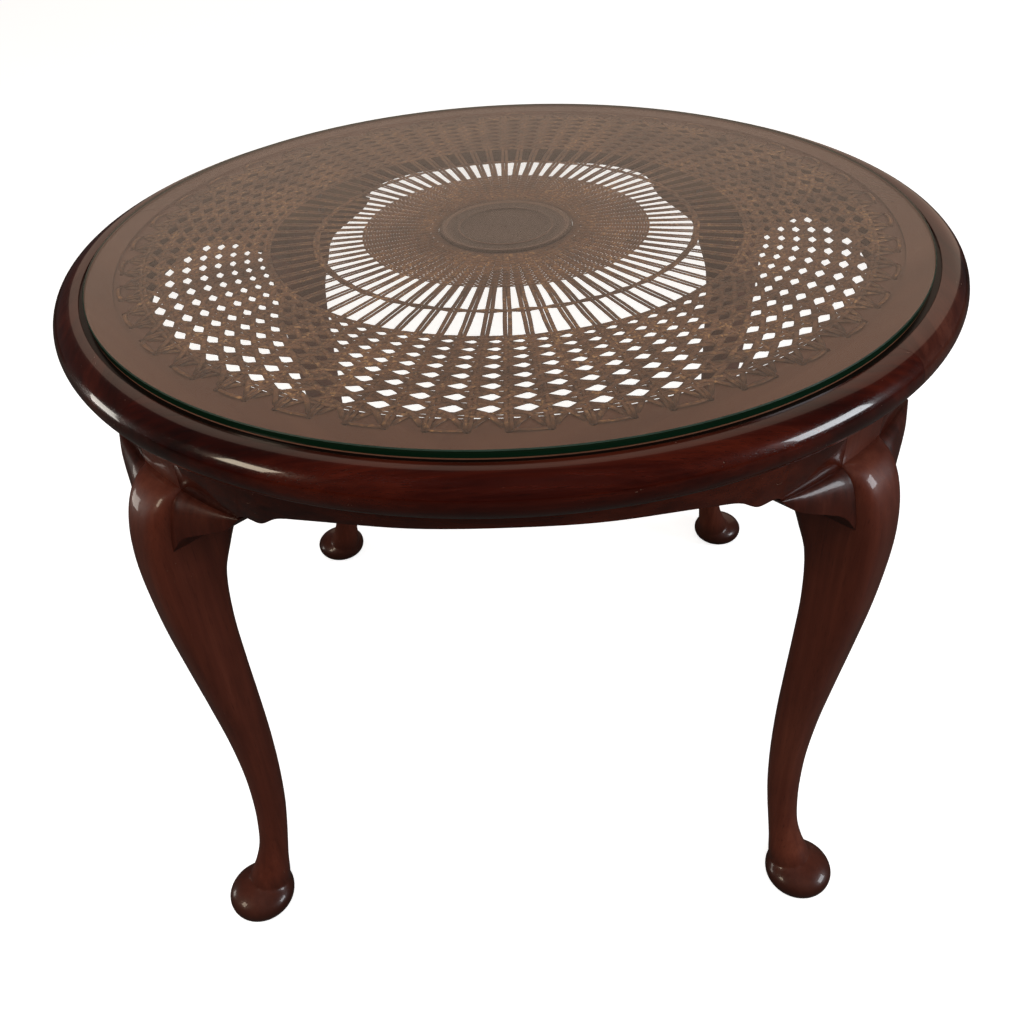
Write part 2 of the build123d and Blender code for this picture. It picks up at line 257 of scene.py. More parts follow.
def makeMahogany(name, look, turn=(0, 0, 0), shift=(0, 0, 0)):
    material, tree, shader = newMaterial(name)
    place = addNode(tree, "ShaderNodeTexCoord").outputs["Object"]
    vector = stretchNode(tree, place, (1, 1, 1), turn, shift)
    grain = addNode(tree, "ShaderNodeGroup", node_tree=grainGroup)
    tree.links.new(vector, grain.inputs["Vector"])
    for label in ("Dark", "Middle", "Light"):
        grain.inputs[label].default_value = (*look[label], 1)
    setInputs(grain, Figure=look["figure"], Nicks=look["nicks"], Pores=look["pores"], Dull=look["dull"])
    colour = grain.outputs["Color"]
    gap, lip, foot = look["gap"], look["lip"], look["foot"]
    if gap is not None:
        # painted shade: nearly black beyond this distance from the table's middle, in the shadowed gap between the
        # glass and the rebate wall
        paintedShade = bandMask(tree, distanceBand, place, gap, gap + shadeAndWear["gapShadeEdge"])
        colour = mixColour(tree, paintedShade, colour, shadeAndWear["paintedShade"])
    if lip is not None:
        # polish rubbed pale along the top edge
        rubbed = bandMask(tree, heightBand, place, lip, lip + shadeAndWear["lipEdge"])
        colour = mixColour(tree, rubbed, colour, shadeAndWear["rubbed"])
    if foot is not None:
        # feet darker towards the floor
        low = bandMask(tree, heightBand, place, foot, foot * shadeAndWear["footFade"])
        colour = mixColour(tree, mathNode(tree, "MULTIPLY", low, shadeAndWear["footShare"]), colour, shadeAndWear["foot"])
    tree.links.new(colour, shader.inputs["Base Color"])
    tree.links.new(grain.outputs["Roughness"], shader.inputs["Roughness"])
    setInputs(shader, IOR=1.5, Coat_Weight=look["polish"], Coat_Roughness=0.05, Coat_IOR=1.5)
    shader.inputs["Specular IOR Level"].default_value = 0.25 + look["dull"]
    addBump(tree, shader, grain.outputs["Height"], look["bump"], 0.0004)
    return material


mahoganyLook = {
    "Dark": (0.018, 0.0022, 0.0010), "Middle": (0.062, 0.0075, 0.0030), "Light": (0.135, 0.022, 0.009),
    "figure": 1.0, "nicks": 0.6, "polish": 0.9, "bump": 0.3, "pores": 0.55, "dull": 0.0,
    "gap": None, "lip": None, "foot": None,
}


def look(**changes):
    return {**mahoganyLook, **changes}


# mesh helpers
def smoothShade(piece, angle=32):
    mesh = piece.data
    mesh.polygons.foreach_set("use_smooth", [True] * len(mesh.polygons))
    mesh.set_sharp_from_angle(angle=math.radians(angle))
    mesh.update()


def addPiece(name, points, faces, material, angle=32):
    mesh = bpy.data.meshes.new(name)
    mesh.from_pydata([(x * mm, y * mm, z * mm) for x, y, z in points], [], faces)
    mesh.validate()
    piece = bpy.data.objects.new(name, mesh)
    scene.collection.objects.link(piece)
    mesh.materials.append(material)
    fixNormals(mesh)
    smoothShade(piece, angle)
    return piece


def fixNormals(mesh):
    work = bmesh.new()
    work.from_mesh(mesh)
    bmesh.ops.recalc_face_normals(work, faces=work.faces)
    work.to_mesh(mesh)
    work.free()


def joinTable(piece, slotName, *nodes, body="table"):
    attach(piece, body)
    if nodes:
        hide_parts(*nodes)
    return piece


def softenedCopy(node, name, material, rounding=0.0, angle=32):
    # a merged copy of a CAD node with its long edges eased, as hand finishing leaves them
    work = bmesh.new()
    work.from_mesh(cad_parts[node].data)
    bmesh.ops.remove_doubles(work, verts=work.verts, dist=0.000005)
    bmesh.ops.dissolve_degenerate(work, edges=work.edges, dist=0.000005)
    bmesh.ops.dissolve_limit(work, angle_limit=math.radians(0.4), verts=work.verts, edges=work.edges)
    if rounding:
        sharp = [e for e in work.edges if e.is_manifold and e.calc_face_angle(0) > math.radians(40)]
        bmesh.ops.bevel(work, geom=sharp, offset=rounding * mm, segments=2, profile=0.5, affect="EDGES",
                        clamp_overlap=True)
    mesh = bpy.data.meshes.new(name)
    work.to_mesh(mesh)
    work.free()
    piece = bpy.data.objects.new(name, mesh)
    scene.collection.objects.link(piece)
    mesh.materials.clear()
    mesh.materials.append(material)
    smoothShade(piece, angle)
    return piece


def sweepRound(outline, start, end, steps):
    # an outline of (radius, height) swept round the centre line; closed ends unless it goes all the way
    whole = abs(end - start - 360) < 1e-6
    rows = steps if whole else steps + 1
    count = len(outline)
    points, faces = [], []
    for row in range(rows):
        a = math.radians(start + (end - start) * row / steps)
        points += [(r * math.cos(a), r * math.sin(a), z) for r, z in outline]
    for row in range(steps):
        first, second = row * count, ((row + 1) % rows) * count
        for i in range(count):
            j = (i + 1) % count
            faces.append((first + i, second + i, second + j, first + j))
    if not whole:
        faces.append(tuple(range(count)))
        faces.append(tuple(range((rows - 1) * count, rows * count)))
    return points, faces


def turnedSolid(outline, steps):
    # an open outline from the top's centre to the bottom's centre, spun into a closed solid
    points, faces = [(0, 0, outline[0][1])], []
    inner = outline[1:-1]
    for r, z in inner:
        for i in range(steps):
            a = 2 * math.pi * i / steps
            points.append((r * math.cos(a), r * math.sin(a), z))
    points.append((0, 0, outline[-1][1]))
    last = len(points) - 1
    for i in range(steps):
        j = (i + 1) % steps
        faces.append((0, 1 + i, 1 + j))
        for row in range(len(inner) - 1):
            a, b = 1 + row * steps, 1 + (row + 1) * steps
            faces.append((a + i, b + i, b + j, a + j))
        a = 1 + (len(inner) - 1) * steps
        faces.append((a + i, last, a + j))
    return points, faces


def arcPoints(centre, radius, start, end, steps):
    angles = [math.radians(start + (end - start) * i / steps) for i in range(steps + 1)]
    return [(centre[0] + radius * math.cos(a), centre[1] + radius * math.sin(a)) for a in angles]


def turnedPoints(rows, azimuth):
    # rows of (outwards, sideways, height) brought round to their place
    c, s = math.cos(math.radians(azimuth)), math.sin(math.radians(azimuth))
    return [(u * c - v * s, u * s + v * c, z) for row in rows for u, v, z in row]


def tubeFaces(rows, count):
    # closed rings joined one to the next, with both ends capped
    faces = []
    for row in range(rows - 1):
        first, second = row * count, (row + 1) * count
        faces += [(first + i, first + (i + 1) % count, second + (i + 1) % count, second + i) for i in range(count)]
    return faces + [tuple(range(count)), tuple(range((rows - 1) * count, rows * count))]


def throughPoints(rows, at):
    # a smooth curve through rows of (place, value)
    for i in range(len(rows) - 1):
        if at <= rows[i + 1][0]:
            break
    before, low, high, after = rows[max(i - 1, 0)], rows[i], rows[i + 1], rows[min(i + 2, len(rows) - 1)]
    span = high[0] - low[0]
    t = (at - low[0]) / span
    first = (high[1] - before[1]) / (high[0] - before[0]) * span
    second = (after[1] - low[1]) / (after[0] - low[0]) * span
    return ((2 * t**3 - 3 * t**2 + 1) * low[1] + (t**3 - 2 * t**2 + t) * first
            + (3 * t**2 - 2 * t**3) * high[1] + (t**3 - t**2) * second)


glassSize = {"radius": 278.0, "bottom": 462.06, "top": 467.0, "arris": 0.6, "steps": 256}


def makeGlassLooks():
    clear, tree, shader = newMaterial("clearGlass")
    place = addNode(tree, "ShaderNodeTexCoord").outputs["Object"]
    smear = noiseNode(tree, place, 9, 4, 0.6, 0.6)
    tree.links.new(mathNode(tree, "MULTIPLY", spread(tree, smear, 0.55, 0.8), 0.035), shader.inputs["Roughness"])
    tint = mixColour(tree, smear, (0.955, 0.965, 0.955), (0.975, 0.975, 0.965))
    tree.links.new(tint, shader.inputs["Base Color"])
    setInputs(shader, IOR=1.5, Transmission_Weight=1.0)
    edge, tree, shader = newMaterial("groundGlassEdge")
    place = addNode(tree, "ShaderNodeTexCoord").outputs["Object"]
    bands = noiseNode(tree, stretchNode(tree, place, (30, 30, 500)), 1.0, 3, 0.5)
    green = mixColour(tree, bands, (0.0030, 0.016, 0.0070), (0.006, 0.028, 0.013))
    tree.links.new(green, shader.inputs["Base Color"])
    tree.links.new(mathNode(tree, "MULTIPLY_ADD", bands, 0.15, 0.08), shader.inputs["Roughness"])
    setInputs(shader, IOR=1.5)
    arris, tree, shader = newMaterial("glassArris")
    place = addNode(tree, "ShaderNodeTexCoord").outputs["Object"]
    chips = noiseNode(tree, place, 160, 3, 0.6)
    tree.links.new(mixColour(tree, chips, (0.012, 0.026, 0.017), (0.04, 0.07, 0.05)), shader.inputs["Base Color"])
    tree.links.new(mathNode(tree, "MULTIPLY_ADD", chips, 0.3, 0.2), shader.inputs["Roughness"])
    setInputs(shader, IOR=1.5)
    return clear, edge, arris


def makeGlass(size):
    clear, edge, arris = makeGlassLooks()
    r, a = size["radius"], size["arris"]
    outline = [(0, size["top"]), (r * 0.5, size["top"]), (r - a, size["top"]), (r, size["top"] - a),
               (r, size["bottom"] + a), (r - a, size["bottom"]), (r * 0.5, size["bottom"]), (0, size["bottom"])]
    points, faces = turnedSolid(outline, size["steps"])
    piece = addPiece("tableGlass", points, faces, clear, 25)
    piece.data.materials.append(edge)
    piece.data.materials.append(arris)
    for face in piece.data.polygons:
        out = math.hypot(*face.center[:2])
        if out > (r - 0.1) * mm:
            face.material_index = 1
        elif out > (r - a) * mm and face.center[2] > (size["top"] - a) * mm:
            face.material_index = 2
        elif out > (r - a) * mm:
            face.material_index = 1
    piece.visible_shadow = False
    piece.visible_diffuse = False
    return joinTable(piece, "table_glass", "glass_top", body="glass")


makeGlass(glassSize)
print("glass made")


mouldingSize = {
    "rebate": 281.5, "nose": 287.0, "noseRadius": 13.0, "middle": 450.0, "ease": 0.5, "slack": 0.08,
    "joints": (-42.0, 48.0, 138.0, 228.0), "jointGap": 0.02, "noseSteps": 28, "easeSteps": 3, "sweepSteps": 90,
}
# painted light and shade: each segment's colour follows its side, lighter and greyer on the right (1), darker on the
# left (3) and darkest at the front (4)
mouldingLightBySide = {
    1: look(Middle=(0.070, 0.0140, 0.0075), Light=(0.14, 0.040, 0.024)),
    2: look(),
    3: look(Middle=(0.040, 0.0050, 0.0022), Light=(0.09, 0.014, 0.006)),
    4: look(Dark=(0.010, 0.0011, 0.0005), Middle=(0.036, 0.0030, 0.0010), Light=(0.085, 0.010, 0.0035)),
}


def makeMoulding(size):
    nose, radius, middle, ease = size["nose"], size["noseRadius"], size["middle"], size["ease"]
    rounded = radius - size["slack"]
    outline = arcPoints((nose, middle), rounded, -90, 90, size["noseSteps"])
    outline += arcPoints((size["rebate"] + ease, middle + rounded - ease), ease, 90, 180, size["easeSteps"])
    outline += [(size["rebate"], middle - radius)]
    ends = list(size["joints"][1:]) + [size["joints"][0] + 360]
    for count, (start, end) in enumerate(zip(size["joints"], ends), 1):
        gap = size["jointGap"]
        points, faces = sweepRound(outline, start + gap, end - gap, size["sweepSteps"])
        turn = (0, 0, -math.radians((start + end) / 2 + 90))
        material = makeMahogany(f"mouldingMahogany{count}", mouldingLightBySide[count], turn, (count * 0.7, 0.3, 0))
        piece = addPiece(f"rimMoulding{count}", points, faces, material)
        joinTable(piece, "mahogany_moulding", f"rim_moulding_{count}")


makeMoulding(mouldingSize)
print("mouldings made")


bossOutline = [(0, 458.4), (1.5, 459.4), (4, 459.42), (15, 459.6), (24, 460.0), (29.4, 460.25), (30.3, 460.5),
               (31.2, 460.85), (32, 461.0), (32.8, 460.85), (33.7, 460.5), (34.6, 460.3), (38.5, 460.6), (41.2, 461.25),
               (42.4, 461.48), (43.6, 461.5), (44.6, 461.3), (45.4, 460.85), (45.9, 460.2), (46, 459.6), (46, 456.4),
               (45.6, 456), (44.1, 456), (44.1, 453.6), (43.6, 452.3), (42.8, 451.4), (41.2, 450.6), (8, 450.5), (0, 450.5)]


# rings painted on the boss by distance from its middle: the dark ones are painted shade at the feet of the bead and
# round the outer edge, the pale ones are painted highlight on the bead and the outer ridge
bossSize = {
    "steps": 128, "dark": ((0.0290, 0.0312), (0.0338, 0.0362), (0.0448, 0.0480)), "shadeRingEdge": 0.0006,
    "pale": ((0.0312, 0.0332), (0.0400, 0.0440)), "highlightRingEdge": 0.0008, "highlightShare": 0.7,
    "highlightColour": (0.16, 0.085, 0.055),
}
bossLook = look(Dark=(0.018, 0.007, 0.004), Middle=(0.040, 0.017, 0.010), Light=(0.075, 0.036, 0.022),
                figure=0.7, polish=0.6, nicks=0.0)


def ringMask(tree, place, start, end, edge):
    return mathNode(tree, "MULTIPLY", bandMask(tree, distanceBand, place, start, start + edge),
                    bandMask(tree, distanceBand, place, end, end - edge))


def makeBoss():
    material = makeMahogany("bossMahogany", bossLook, (0, 0, 0.3))
    tree = material.node_tree
    shader = next(node for node in tree.nodes if node.type == "BSDF_PRINCIPLED")
    base = shader.inputs["Base Color"].links[0].from_socket
    place = addNode(tree, "ShaderNodeTexCoord").outputs["Object"]
    # painted shade at the feet of the bead and round the boss's outer edge
    for start, end in bossSize["dark"]:
        base = mixColour(tree, ringMask(tree, place, start, end, bossSize["shadeRingEdge"]), base, shadeAndWear["paintedShade"])
    # painted highlight on the crests of the bead and the outer ridge
    for start, end in bossSize["pale"]:
        ring = mathNode(tree, "MULTIPLY", ringMask(tree, place, start, end, bossSize["highlightRingEdge"]),
                        bossSize["highlightShare"])
        base = mixColour(tree, ring, base, bossSize["highlightColour"])
    tree.links.new(base, shader.inputs["Base Color"])
    points, faces = turnedSolid(bossOutline, bossSize["steps"])
    piece = addPiece("turnedBoss", points, faces, material, 50)
    joinTable(piece, "mahogany_boss", "boss_face", "boss_cap")


makeBoss()
print("boss made")


caneSize = {
    "pairs": 78, "firstPair": -89.2, "hole": 255.5, "level": 460.72, "lift": 0.42,
    "fieldHalfGap": 1.3, "spokeHalfGap": 1.5, "bossHalfGap": 0.95,
    "firstRow": 242.4, "rowStep": 11.7375, "rowEase": 0.2219, "rows": 9, "rowHalfGap": 1.3,
    "firstRound": 97.4, "roundStep": 1.93, "rounds": 24, "roundLift": 0.24, "boss": 46.1,
    "binder": (128.6, 130.5), "binderLift": 0.34, "thickness": 0.42,
    "radialWidth": 2.6, "rowWidth": 2.7, "diagonalWidth": 3.45, "diagonalThickness": 0.36,
    "binderWidth": 2.7, "roundWidth": 1.8, "tieWidth": 2.5, "tieThickness": 0.4,
}


def rowRadius(row):
    return caneSize["firstRow"] - caneSize["rowStep"] * row + caneSize["rowEase"] * row * row


def atAzimuth(pair, radius, across, height):
    # a point beside a pair's centre line, pair counted from the first one
    a = math.radians(caneSize["firstPair"] + pair * 360 / caneSize["pairs"])
    return (radius * math.cos(a) - across * math.sin(a), radius * math.sin(a) + across * math.cos(a), height)


def radialPath(pair, side):
    level, lift = caneSize["level"], caneSize["lift"]
    gap = caneSize["fieldHalfGap"] * side
    path = [(255.2, 0.75 * side, 458.8), (253.6, 1.0 * side, 460.4), (250, gap, level)]
    for row in range(caneSize["rows"]):
        r = rowRadius(row)
        for hand in (1, -1):
            over = -side * hand
            path.append((r + hand * caneSize["rowHalfGap"], gap, level + over * lift * 0.5))
        if row < caneSize["rows"] - 1:
            path.append((rowRadius(row + 0.5), gap, level))
    spoke = caneSize["spokeHalfGap"] * side
    path += [(157, (gap + spoke) / 2, level), (145, spoke, level), (134, spoke, level),
             (130.9, spoke, level - 0.2 * lift), (128.1, spoke, level - 0.2 * lift), (124, spoke * 0.94, level),
             (112, spoke * 0.88, level), (100, spoke * 0.82, level)]
    spoke *= 0.82
    last = caneSize["firstRound"] - caneSize["roundStep"] * (caneSize["rounds"] - 1)
    for turn in range(caneSize["rounds"]):
        r = caneSize["firstRound"] - caneSize["roundStep"] * turn
        share = (caneSize["firstRound"] - r) / (caneSize["firstRound"] - last)
        across = spoke + (caneSize["bossHalfGap"] * side - spoke) * share
        over = 1 if (pair + turn) % 2 else -1
        path.append((r, across, level + over * lift * 0.5))
    path += [(50.0, 0.92 * side, level), (caneSize["boss"], 0.86 * side, level - 0.7)]
    return [atAzimuth(pair, *point) for point in path]


def rowPath(row, hand):
    level, lift = caneSize["level"], caneSize["lift"]
    r = rowRadius(row) + hand * caneSize["rowHalfGap"]
    path = []
    for pair in range(2):
        for side in (-1, 1):
            over = side * hand
            path.append(atAzimuth(pair, r, caneSize["fieldHalfGap"] * side, level + over * lift * 0.5))
        path.append(atAzimuth(pair + 0.38, r, 0, level))
        path.append(atAzimuth(pair + 0.62, r, 0, level))
    path.append(atAzimuth(2, r, -caneSize["fieldHalfGap"], level - hand * lift * 0.5))
    return path


def diagonalPath(pair, hand):
    level, lift = caneSize["level"], caneSize["lift"]
    path = [atAzimuth(pair + 0.02 * hand, caneSize["hole"], 0, 459.2)]
    steps = int((caneSize["rows"] - 0.5) * 4)
    for step in range(1, steps + 1):
        t = step / 4
        r = rowRadius(t - 0.5) if t > 0.5 else caneSize["hole"] - (caneSize["hole"] - rowRadius(0)) * 2 * t
        over = hand * math.cos(2 * math.pi * t)
        path.append(atAzimuth(pair + t * hand, r, 0, level + over * lift))
    return path


def roundPath(radius, phase, lift):
    path = []
    for step in range(9):
        over = math.cos(math.pi * step / 4) * phase
        path.append(atAzimuth(step / 4, radius, 0, caneSize["level"] - over * lift))
    return path


def loopPath(pair):
    path = []
    for share, r, z in ((0.04, 255.4, 459.0), (0.10, 256.0, 460.7), (0.25, 256.9, 461.25), (0.5, 257.3, 461.3),
                        (0.75, 256.9, 461.25), (0.90, 256.0, 460.7), (0.96, 255.4, 459.0)):
        path.append(atAzimuth(pair + share, r, 0, z))
    return path


def makeWeaveTree():
    tree = bpy.data.node_groups.new("caneStrands", "GeometryNodeTree")
    for label, kind, value in (("Geometry", "NodeSocketGeometry", None), ("Strand Width", number, 0.0018),
                               ("Strand Thickness", number, 0.0004), ("Copies", "NodeSocketInt", 39),
                               ("Wander", number, 0.0004), ("Seed", number, 3.0), ("Cane", "NodeSocketMaterial", None)):
        socket = tree.interface.new_socket(name=label, in_out="INPUT", socket_type=kind)
        if value is not None:
            socket.default_value = value
    tree.interface.new_socket(name="Geometry", in_out="OUTPUT", socket_type="NodeSocketGeometry")
    given = tree.nodes.new("NodeGroupInput").outputs
    made = tree.nodes.new("NodeGroupOutput").inputs

    def join(source, target):
        tree.links.new(source, target)

    line = addNode(tree, "GeometryNodeMeshToCurve")
    join(given["Geometry"], line.inputs[0])
    upright = addNode(tree, "GeometryNodeSetCurveNormal")
    upright.mode = "Z_UP"
    join(line.outputs[0], upright.inputs[0])
    circle = addNode(tree, "GeometryNodeCurvePrimitiveCircle")
    setInputs(circle, Resolution=6, Radius=1.0)
    flat = addNode(tree, "ShaderNodeCombineXYZ")
    join(mathNode(tree, "MULTIPLY", given["Strand Width"], 0.5), flat.inputs[0])
    join(mathNode(tree, "MULTIPLY", given["Strand Thickness"], 0.58), flat.inputs[1])
    flat.inputs[2].default_value = 1.0
    section = addNode(tree, "GeometryNodeTransform")
    join(circle.outputs[0], section.inputs["Geometry"])
    join(flat.outputs[0], section.inputs["Scale"])
    strand = addNode(tree, "GeometryNodeCurveToMesh")
    join(upright.outputs[0], strand.inputs["Curve"])
    join(section.outputs[0], strand.inputs["Profile Curve"])
    strand.inputs["Fill Caps"].default_value = True
    places = addNode(tree, "GeometryNodePoints")
    join(given["Copies"], places.inputs["Count"])
    index = addNode(tree, "GeometryNodeInputIndex").outputs[0]
    turn = mathNode(tree, "DIVIDE", mathNode(tree, "MULTIPLY", index, 2 * math.pi), given["Copies"])
    angle = addNode(tree, "ShaderNodeCombineXYZ")
    join(turn, angle.inputs[2])
    toRotation = addNode(tree, "FunctionNodeEulerToRotation")
    join(angle.outputs[0], toRotation.inputs[0])
    copies = addNode(tree, "GeometryNodeInstanceOnPoints")
    join(places.outputs[0], copies.inputs["Points"])
    join(strand.outputs[0], copies.inputs["Instance"])
    join(toRotation.outputs[0], copies.inputs["Rotation"])
    real = addNode(tree, "GeometryNodeRealizeInstances")
    join(copies.outputs[0], real.inputs[0])
    # hand work: the strands wander a little from their rows
    drift = None
    for scale, share in ((45.0, 1.0), (210.0, 0.55)):
        noise = addNode(tree, "ShaderNodeTexNoise", noise_dimensions="4D")
        setInputs(noise, Scale=scale, Detail=1.0)
        join(given["Seed"], noise.inputs["W"])
        centred = addNode(tree, "ShaderNodeVectorMath", operation="SUBTRACT")
        join(noise.outputs["Color"], centred.inputs[0])
        centred.inputs[1].default_value = (0.5, 0.5, 0.5)
        sized = addNode(tree, "ShaderNodeVectorMath", operation="MULTIPLY")
        join(centred.outputs[0], sized.inputs[0])
        sized.inputs[1].default_value = (share * 4, share * 4, share * 0.35)
        if drift is None:
            drift = sized.outputs[0]
        else:
            total = addNode(tree, "ShaderNodeVectorMath", operation="ADD")
            join(drift, total.inputs[0])
            join(sized.outputs[0], total.inputs[1])
            drift = total.outputs[0]
    amount = addNode(tree, "ShaderNodeVectorMath", operation="SCALE")
    join(drift, amount.inputs[0])
    join(given["Wander"], amount.inputs["Scale"])
    moved = addNode(tree, "GeometryNodeSetPosition")
    join(real.outputs[0], moved.inputs["Geometry"])
    join(amount.outputs[0], moved.inputs["Offset"])
    shade = addNode(tree, "GeometryNodeSetShadeSmooth")
    join(moved.outputs[0], shade.inputs["Geometry"])
    finish = addNode(tree, "GeometryNodeSetMaterial")
    join(shade.outputs[0], finish.inputs["Geometry"])
    join(given["Cane"], finish.inputs["Material"])
    join(finish.outputs[0], made["Geometry"])
    return tree


weaveTree = makeWeaveTree()


def weavePiece(name, paths, material, width, thickness, copies, wander=0.00032, seed=3.0):
    points, edges = [], []
    for path in paths:
        start = len(points)
        points += [(x * mm, y * mm, z * mm) for x, y, z in path]
        edges += [(start + i, start + i + 1) for i in range(len(path) - 1)]
    lines = bpy.data.meshes.new(name + "Lines")
    lines.from_pydata(points, edges, [])
    worker = bpy.data.objects.new(name + "Lines", lines)
    scene.collection.objects.link(worker)
    modifier = worker.modifiers.new("strands", "NODES")
    modifier.node_group = weaveTree
    items = weaveTree.interface.items_tree
    sockets = {item.name: item.identifier for item in items if item.in_out == "INPUT"}
    for label, value in (("Strand Width", width * mm), ("Strand Thickness", thickness * mm), ("Copies", copies),
                         ("Wander", wander), ("Seed", seed), ("Cane", material)):
        modifier[sockets[label]] = value
    graph = bpy.context.evaluated_depsgraph_get()
    mesh = bpy.data.meshes.new_from_object(worker.evaluated_get(graph))
    mesh.name = name
    piece = bpy.data.objects.new(name, mesh)
    scene.collection.objects.link(piece)
    bpy.data.objects.remove(worker)
    return piece


def makeCaneGroup():
    tree, given, made = newGroup(
        "caneColour",
        [("Vector", vectorKind, None), ("Dark", colourKind, (0.03, 0.014, 0.007, 1)),
         ("Middle", colourKind, (0.1, 0.055, 0.03, 1)), ("Light", colourKind, (0.4, 0.25, 0.13, 1)),
         ("Flecks", number, 0.5)],
        [("Color", colourKind), ("Roughness", number), ("Height", number)],
    )
    cloudy = noiseNode(tree, given["Vector"], 22, 3, 0.6)
    strandTone = noiseNode(tree, given["Vector"], 230, 2, 0.5)
    fibre = noiseNode(tree, given["Vector"], 1400, 3, 0.6)
    tone = mathNode(tree, "MULTIPLY", cloudy, 0.45)
    tone = mathNode(tree, "MULTIPLY_ADD", strandTone, 0.55, tone)
    tone = spread(tree, tone, 0.34, 0.60)
    # painted shade: what lies under another strand is darker than what rides over it
    litByHeight = bandMask(tree, heightBand, given["Vector"], 0.46035, 0.46115)
    tone = mathNode(tree, "MULTIPLY", tone, mathNode(tree, "MULTIPLY_ADD", litByHeight, 0.75, 0.25))
    colour = mixColour(tree, tone, given["Dark"], given["Middle"])
    fleckMask = spread(tree, noiseNode(tree, given["Vector"], 420, 2, 0.5, 0.5), 0.56, 0.68)
    patchMask = spread(tree, cloudy, 0.38, 0.6)
    fleck = mathNode(tree, "MULTIPLY", fleckMask, mathNode(tree, "MULTIPLY", patchMask, given["Flecks"]))
    # pale flecks only on the raised parts, so the painted shade covers them too
    fleck = mathNode(tree, "MULTIPLY", fleck, litByHeight, clamp=True)
    colour = mixColour(tree, fleck, colour, given["Light"])
    colour = mixColour(tree, mathNode(tree, "MULTIPLY", spread(tree, fibre, 0.5, 0.75), 0.35), colour, given["Dark"])
    tree.links.new(colour, made["Color"])
    tree.links.new(mathNode(tree, "MULTIPLY_ADD", strandTone, 0.35, 0.18, clamp=True), made["Roughness"])
    tree.links.new(fibre, made["Height"])
    return tree


caneGroup = makeCaneGroup()


def makeCaneLook(name, dark, middle, light, flecks):
    material, tree, shader = newMaterial(name)
    place = addNode(tree, "ShaderNodeTexCoord").outputs["Object"]
    cane = addNode(tree, "ShaderNodeGroup", node_tree=caneGroup)
    tree.links.new(place, cane.inputs["Vector"])
    for label, colour in (("Dark", dark), ("Middle", middle), ("Light", light)):
        cane.inputs[label].default_value = (*colour, 1)
    cane.inputs["Flecks"].default_value = flecks
    tree.links.new(cane.outputs["Color"], shader.inputs["Base Color"])
    tree.links.new(cane.outputs["Roughness"], shader.inputs["Roughness"])
    setInputs(shader, IOR=1.5)
    addBump(tree, shader, cane.outputs["Height"], 0.4, 0.0002)
    return material


agedCane = makeCaneLook("agedCane", (0.034, 0.012, 0.005), (0.215, 0.092, 0.042), (0.62, 0.33, 0.13), 0.95)
tieCane = makeCaneLook("tieCane", (0.045, 0.016, 0.007), (0.20, 0.080, 0.032), (0.60, 0.28, 0.09), 0.9)


def makeCane():
    size = caneSize
    half, flat = size["pairs"] // 2, size["thickness"]

    def weave(name, paths, material, width, thickness, copies, *nodes):
        joinTable(weavePiece(name, paths, material, width, thickness, copies), "cane", *nodes)

    radials = [radialPath(pair, side) for pair in (0, 1) for side in (-1, 1)]
    weave("caneRadialPairs", radials, agedCane, size["radialWidth"], flat, half, "cane_spokes")
    rows = [rowPath(row, hand) for row in range(size["rows"]) for hand in (-1, 1)]
    weave("caneRows", rows, agedCane, size["rowWidth"], flat, half, "cane_six_way_field")
    diagonals = [diagonalPath(0, hand) for hand in (-1, 1)]
    weave("caneDiagonals", diagonals, agedCane, size["diagonalWidth"], size["diagonalThickness"], size["pairs"],
          "cane_six_way_field")
    binder = [roundPath(radius, phase, size["binderLift"]) for radius, phase in zip(size["binder"], (1, -1))]
    weave("caneBinder", binder, agedCane, size["binderWidth"], flat, half, "cane_binder_ring")
    rounds = [roundPath(size["firstRound"] - size["roundStep"] * turn, 1 if turn % 2 else -1, size["roundLift"])
              for turn in range(size["rounds"])]
    weave("caneRounds", rounds, agedCane, size["roundWidth"], flat, half, "cane_centre_weave")
    weave("caneTies", [loopPath(0)], tieCane, size["tieWidth"], size["tieThickness"], half)


makeCane()
print("cane woven")


legPlaces = {
    "front_right": (-45, (0, 0)), "back_right": (45, (8.5, 0)),
    "back_left": (135, (0, 0)), "front_left": (-135, (8.8, 5.2)),
}
legSections = ((14, 311, 276, 17, 2), (26, 305.5, 274, 15, 2), (38, 298.1, 272.4, 12.9, 2), (55, 291.6, 269.2, 11.2, 2),
               (75, 288.2, 265.8, 11.2, 2), (100, 286.2, 262.6, 11.8, 2), (135, 286.1, 260.5, 12.8, 2),
               (175, 289.1, 260.3, 14.4, 2.1), (215, 294.1, 261.9, 16.2, 2.4), (255, 299.5, 264, 18, 2.8),
               (295, 304.6, 264.9, 19.1, 3.1), (330, 307.3, 261.7, 19.7, 3.3), (350, 307.6, 254, 20.6, 3.4),
               (367, 306.2, 246.5, 21.5, 3.4), (379, 303.6, 243.8, 21.5, 3.6), (389, 299.8, 243, 21.5, 3.8),
               (396.5, 295, 243, 21.5, 4), (401, 290, 243, 21.5, 4), (403.5, 285, 243, 21.5, 4))
legSize = {"around": 64, "padCentre": 300.5, "padRadius": 25.2, "padHeight": 25.0, "soleRadius": 13.0,
           "blend": 3.2, "postHalf": 20.0, "postBack": 243.0, "postFront": 281.0, "top": 437.0}


def sectionAt(height):
    # front, back, half width and squareness at a height
    if height <= legSections[0][0]:
        return legSections[0][1:]
    return tuple(throughPoints([(row[0], row[k]) for row in legSections], height) for k in range(1, 5))


